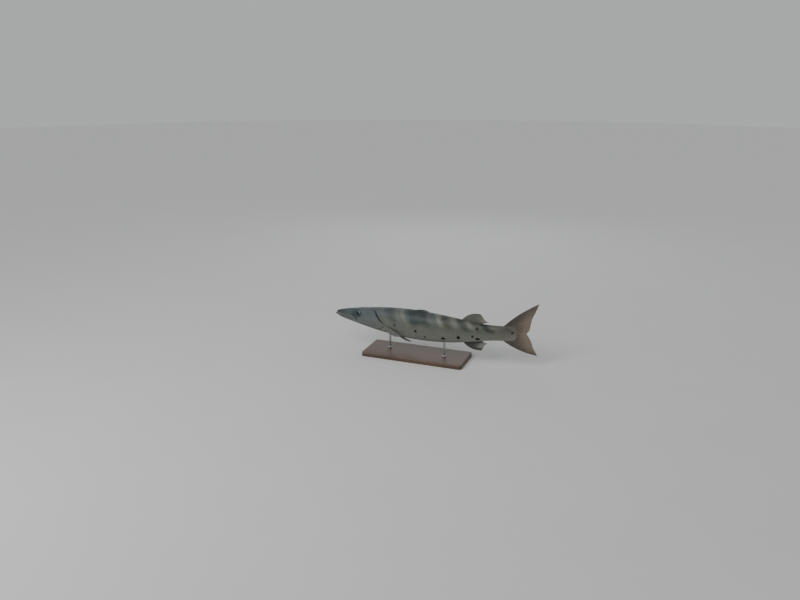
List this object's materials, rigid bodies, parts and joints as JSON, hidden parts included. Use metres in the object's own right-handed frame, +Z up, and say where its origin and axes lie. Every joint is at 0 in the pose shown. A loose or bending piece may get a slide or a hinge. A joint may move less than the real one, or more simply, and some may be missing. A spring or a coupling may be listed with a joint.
{
  "type": "great barracuda model",
  "caption": "Life-size still model of a great barracuda hovering with its body gently curved, held on two short rods above a flat display base.",
  "frame": {"origin": "centre of the display base's underside, on the floor", "axes": "+Z up; +X along the base from the fish's head to its tail; -Y toward the fish's left side, the one the picture shows"},
  "size_m": [0.8975, 0.17, 0.2722],
  "materials": {
    "skin": "satin, silver-green with a grey-green back",
    "jaw_skin": "satin",
    "gill_cover_skin": "satin",
    "eye": "polished",
    "dark_fin": "satin, dark with a pale tip",
    "pale_fin": "satin, half clear in life",
    "tail_fin": "satin, brown with a darker root",
    "base_wood": "satin varnish",
    "rod_steel": "brushed"
  },
  "bodies": {
    "root": {"head": "skin", "lower_jaw": "jaw_skin", "gill_cover_left": "gill_cover_skin", "gill_cover_right": "gill_cover_skin", "eye_left": "eye", "eye_right": "eye", "torso_front": "skin", "torso_middle": "skin", "torso_rear": "skin", "tail_stalk": "skin", "dorsal_fin_front": "dark_fin", "dorsal_fin_rear": "dark_fin", "anal_fin": "dark_fin", "tail_fin": "tail_fin", "pectoral_fin_left": "pale_fin", "pectoral_fin_right": "pale_fin", "pelvic_fin_left": "pale_fin", "pelvic_fin_right": "pale_fin", "stand_base": "base_wood", "stand_rod_front": "rod_steel", "stand_rod_rear": "rod_steel"}
  },
  "joints": []
}
